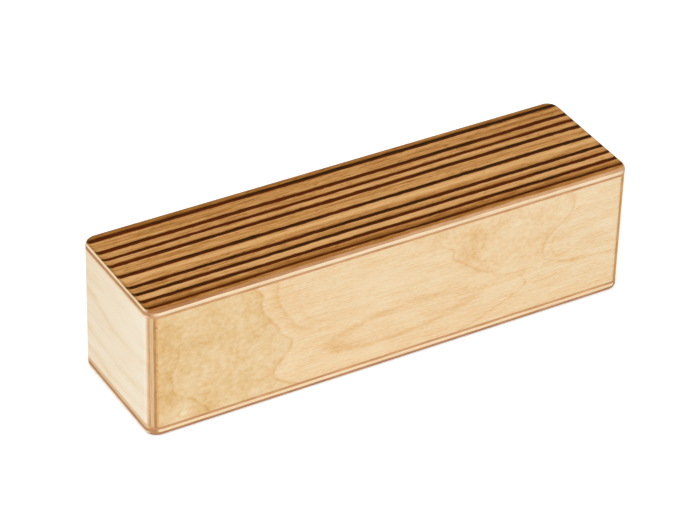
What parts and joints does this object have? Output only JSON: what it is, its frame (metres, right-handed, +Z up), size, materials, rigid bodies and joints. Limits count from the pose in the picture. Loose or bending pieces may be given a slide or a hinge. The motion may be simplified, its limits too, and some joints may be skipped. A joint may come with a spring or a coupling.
{
  "type": "wooden bar shaker",
  "caption": "Hand-held bar shaker: a sealed, round-edged plywood box with striped veneer lids, and loose beads inside that roll from wall to wall to make its sound.",
  "frame": {"origin": "middle of the underside", "axes": "+Z up, +X along the length of the box, the front panel faces -Y"},
  "size_m": [0.2, 0.0536, 0.0548],
  "materials": {
    "striped_veneer": "striped tropical veneer under satin clear lacquer",
    "ply_outer": "birch ply under satin clear lacquer",
    "ply_core": "birch ply, its sanded edge under satin clear lacquer",
    "ply_inner": "birch ply, its sanded edge under satin clear lacquer",
    "bead_steel": "plain steel shot, slightly worn"
  },
  "bodies": {
    "box": {"top_striped_veneer": "striped_veneer", "top_ply_outer": "ply_outer", "top_ply_core": "ply_core", "top_ply_inner": "ply_inner", "bottom_striped_veneer": "striped_veneer", "bottom_ply_outer": "ply_outer", "bottom_ply_core": "ply_core", "bottom_ply_inner": "ply_inner", "front_ply_outer": "ply_outer", "front_ply_core": "ply_core", "front_ply_inner": "ply_inner", "back_ply_outer": "ply_outer", "back_ply_core": "ply_core", "back_ply_inner": "ply_inner", "left_end_ply_outer": "ply_outer", "left_end_ply_core": "ply_core", "left_end_ply_inner": "ply_inner", "right_end_ply_outer": "ply_outer", "right_end_ply_core": "ply_core", "right_end_ply_inner": "ply_inner"},
    "bead_01": {"bead_01": "bead_steel"},
    "bead_02": {"bead_02": "bead_steel"},
    "bead_03": {"bead_03": "bead_steel"},
    "bead_04": {"bead_04": "bead_steel"},
    "bead_05": {"bead_05": "bead_steel"},
    "bead_06": {"bead_06": "bead_steel"},
    "bead_07": {"bead_07": "bead_steel"},
    "bead_08": {"bead_08": "bead_steel"},
    "bead_09": {"bead_09": "bead_steel"},
    "bead_10": {"bead_10": "bead_steel"},
    "bead_11": {"bead_11": "bead_steel"},
    "bead_12": {"bead_12": "bead_steel"},
    "bead_13": {"bead_13": "bead_steel"},
    "bead_14": {"bead_14": "bead_steel"},
    "bead_15": {"bead_15": "bead_steel"},
    "bead_16": {"bead_16": "bead_steel"},
    "bead_17": {"bead_17": "bead_steel"},
    "bead_18": {"bead_18": "bead_steel"},
    "bead_19": {"bead_19": "bead_steel"},
    "bead_20": {"bead_20": "bead_steel"},
    "bead_21": {"bead_21": "bead_steel"},
    "bead_22": {"bead_22": "bead_steel"},
    "bead_23": {"bead_23": "bead_steel"},
    "bead_24": {"bead_24": "bead_steel"},
    "bead_25": {"bead_25": "bead_steel"},
    "bead_26": {"bead_26": "bead_steel"},
    "bead_27": {"bead_27": "bead_steel"},
    "bead_28": {"bead_28": "bead_steel"}
  },
  "joints": [
    {"name": "bead_01_roll", "type": "slide", "parent": "box", "child": "bead_01", "axis": [0, 1, 0], "range_m": [-0.02583, 0.01597]},
    {"name": "bead_02_roll", "type": "slide", "parent": "box", "child": "bead_02", "axis": [0, 1, 0], "range_m": [-0.00987, 0.03193]},
    {"name": "bead_03_roll", "type": "slide", "parent": "box", "child": "bead_03", "axis": [0, 1, 0], "range_m": [-0.0357, 0.0061]},
    {"name": "bead_04_roll", "type": "slide", "parent": "box", "child": "bead_04", "axis": [0, 1, 0], "range_m": [-0.01973, 0.02207]},
    {"name": "bead_05_roll", "type": "slide", "parent": "box", "child": "bead_05", "axis": [0, 1, 0], "range_m": [-0.00376, 0.03804]},
    {"name": "bead_06_roll", "type": "slide", "parent": "box", "child": "bead_06", "axis": [0, 1, 0], "range_m": [-0.02959, 0.01221]},
    {"name": "bead_07_roll", "type": "slide", "parent": "box", "child": "bead_07", "axis": [0, 1, 0], "range_m": [-0.01363, 0.02817]},
    {"name": "bead_08_roll", "type": "slide", "parent": "box", "child": "bead_08", "axis": [0, 1, 0], "range_m": [-0.03946, 0.00234]},
    {"name": "bead_09_roll", "type": "slide", "parent": "box", "child": "bead_09", "axis": [0, 1, 0], "range_m": [-0.02349, 0.01831]},
    {"name": "bead_10_roll", "type": "slide", "parent": "box", "child": "bead_10", "axis": [0, 1, 0], "range_m": [-0.00752, 0.03428]},
    {"name": "bead_11_roll", "type": "slide", "parent": "box", "child": "bead_11", "axis": [0, 1, 0], "range_m": [-0.03336, 0.00844]},
    {"name": "bead_12_roll", "type": "slide", "parent": "box", "child": "bead_12", "axis": [0, 1, 0], "range_m": [-0.01739, 0.02441]},
    {"name": "bead_13_roll", "type": "slide", "parent": "box", "child": "bead_13", "axis": [0, 1, 0], "range_m": [-0.00142, 0.04038]},
    {"name": "bead_14_roll", "type": "slide", "parent": "box", "child": "bead_14", "axis": [0, 1, 0], "range_m": [-0.02725, 0.01455]},
    {"name": "bead_15_roll", "type": "slide", "parent": "box", "child": "bead_15", "axis": [0, 1, 0], "range_m": [-0.01129, 0.03051]},
    {"name": "bead_16_roll", "type": "slide", "parent": "box", "child": "bead_16", "axis": [0, 1, 0], "range_m": [-0.03712, 0.00468]},
    {"name": "bead_17_roll", "type": "slide", "parent": "box", "child": "bead_17", "axis": [0, 1, 0], "range_m": [-0.02115, 0.02065]},
    {"name": "bead_18_roll", "type": "slide", "parent": "box", "child": "bead_18", "axis": [0, 1, 0], "range_m": [-0.00518, 0.03662]},
    {"name": "bead_19_roll", "type": "slide", "parent": "box", "child": "bead_19", "axis": [0, 1, 0], "range_m": [-0.03102, 0.01078]},
    {"name": "bead_20_roll", "type": "slide", "parent": "box", "child": "bead_20", "axis": [0, 1, 0], "range_m": [-0.01505, 0.02675]},
    {"name": "bead_21_roll", "type": "slide", "parent": "box", "child": "bead_21", "axis": [0, 1, 0], "range_m": [-0.04088, 0.00092]},
    {"name": "bead_22_roll", "type": "slide", "parent": "box", "child": "bead_22", "axis": [0, 1, 0], "range_m": [-0.02491, 0.01689]},
    {"name": "bead_23_roll", "type": "slide", "parent": "box", "child": "bead_23", "axis": [0, 1, 0], "range_m": [-0.00894, 0.03286]},
    {"name": "bead_24_roll", "type": "slide", "parent": "box", "child": "bead_24", "axis": [0, 1, 0], "range_m": [-0.03478, 0.00702]},
    {"name": "bead_25_roll", "type": "slide", "parent": "box", "child": "bead_25", "axis": [0, 1, 0], "range_m": [-0.01881, 0.02299]},
    {"name": "bead_26_roll", "type": "slide", "parent": "box", "child": "bead_26", "axis": [0, 1, 0], "range_m": [-0.00284, 0.03896]},
    {"name": "bead_27_roll", "type": "slide", "parent": "box", "child": "bead_27", "axis": [0, 1, 0], "range_m": [-0.02867, 0.01312]},
    {"name": "bead_28_roll", "type": "slide", "parent": "box", "child": "bead_28", "axis": [0, 1, 0], "range_m": [-0.01271, 0.02909]}
  ]
}
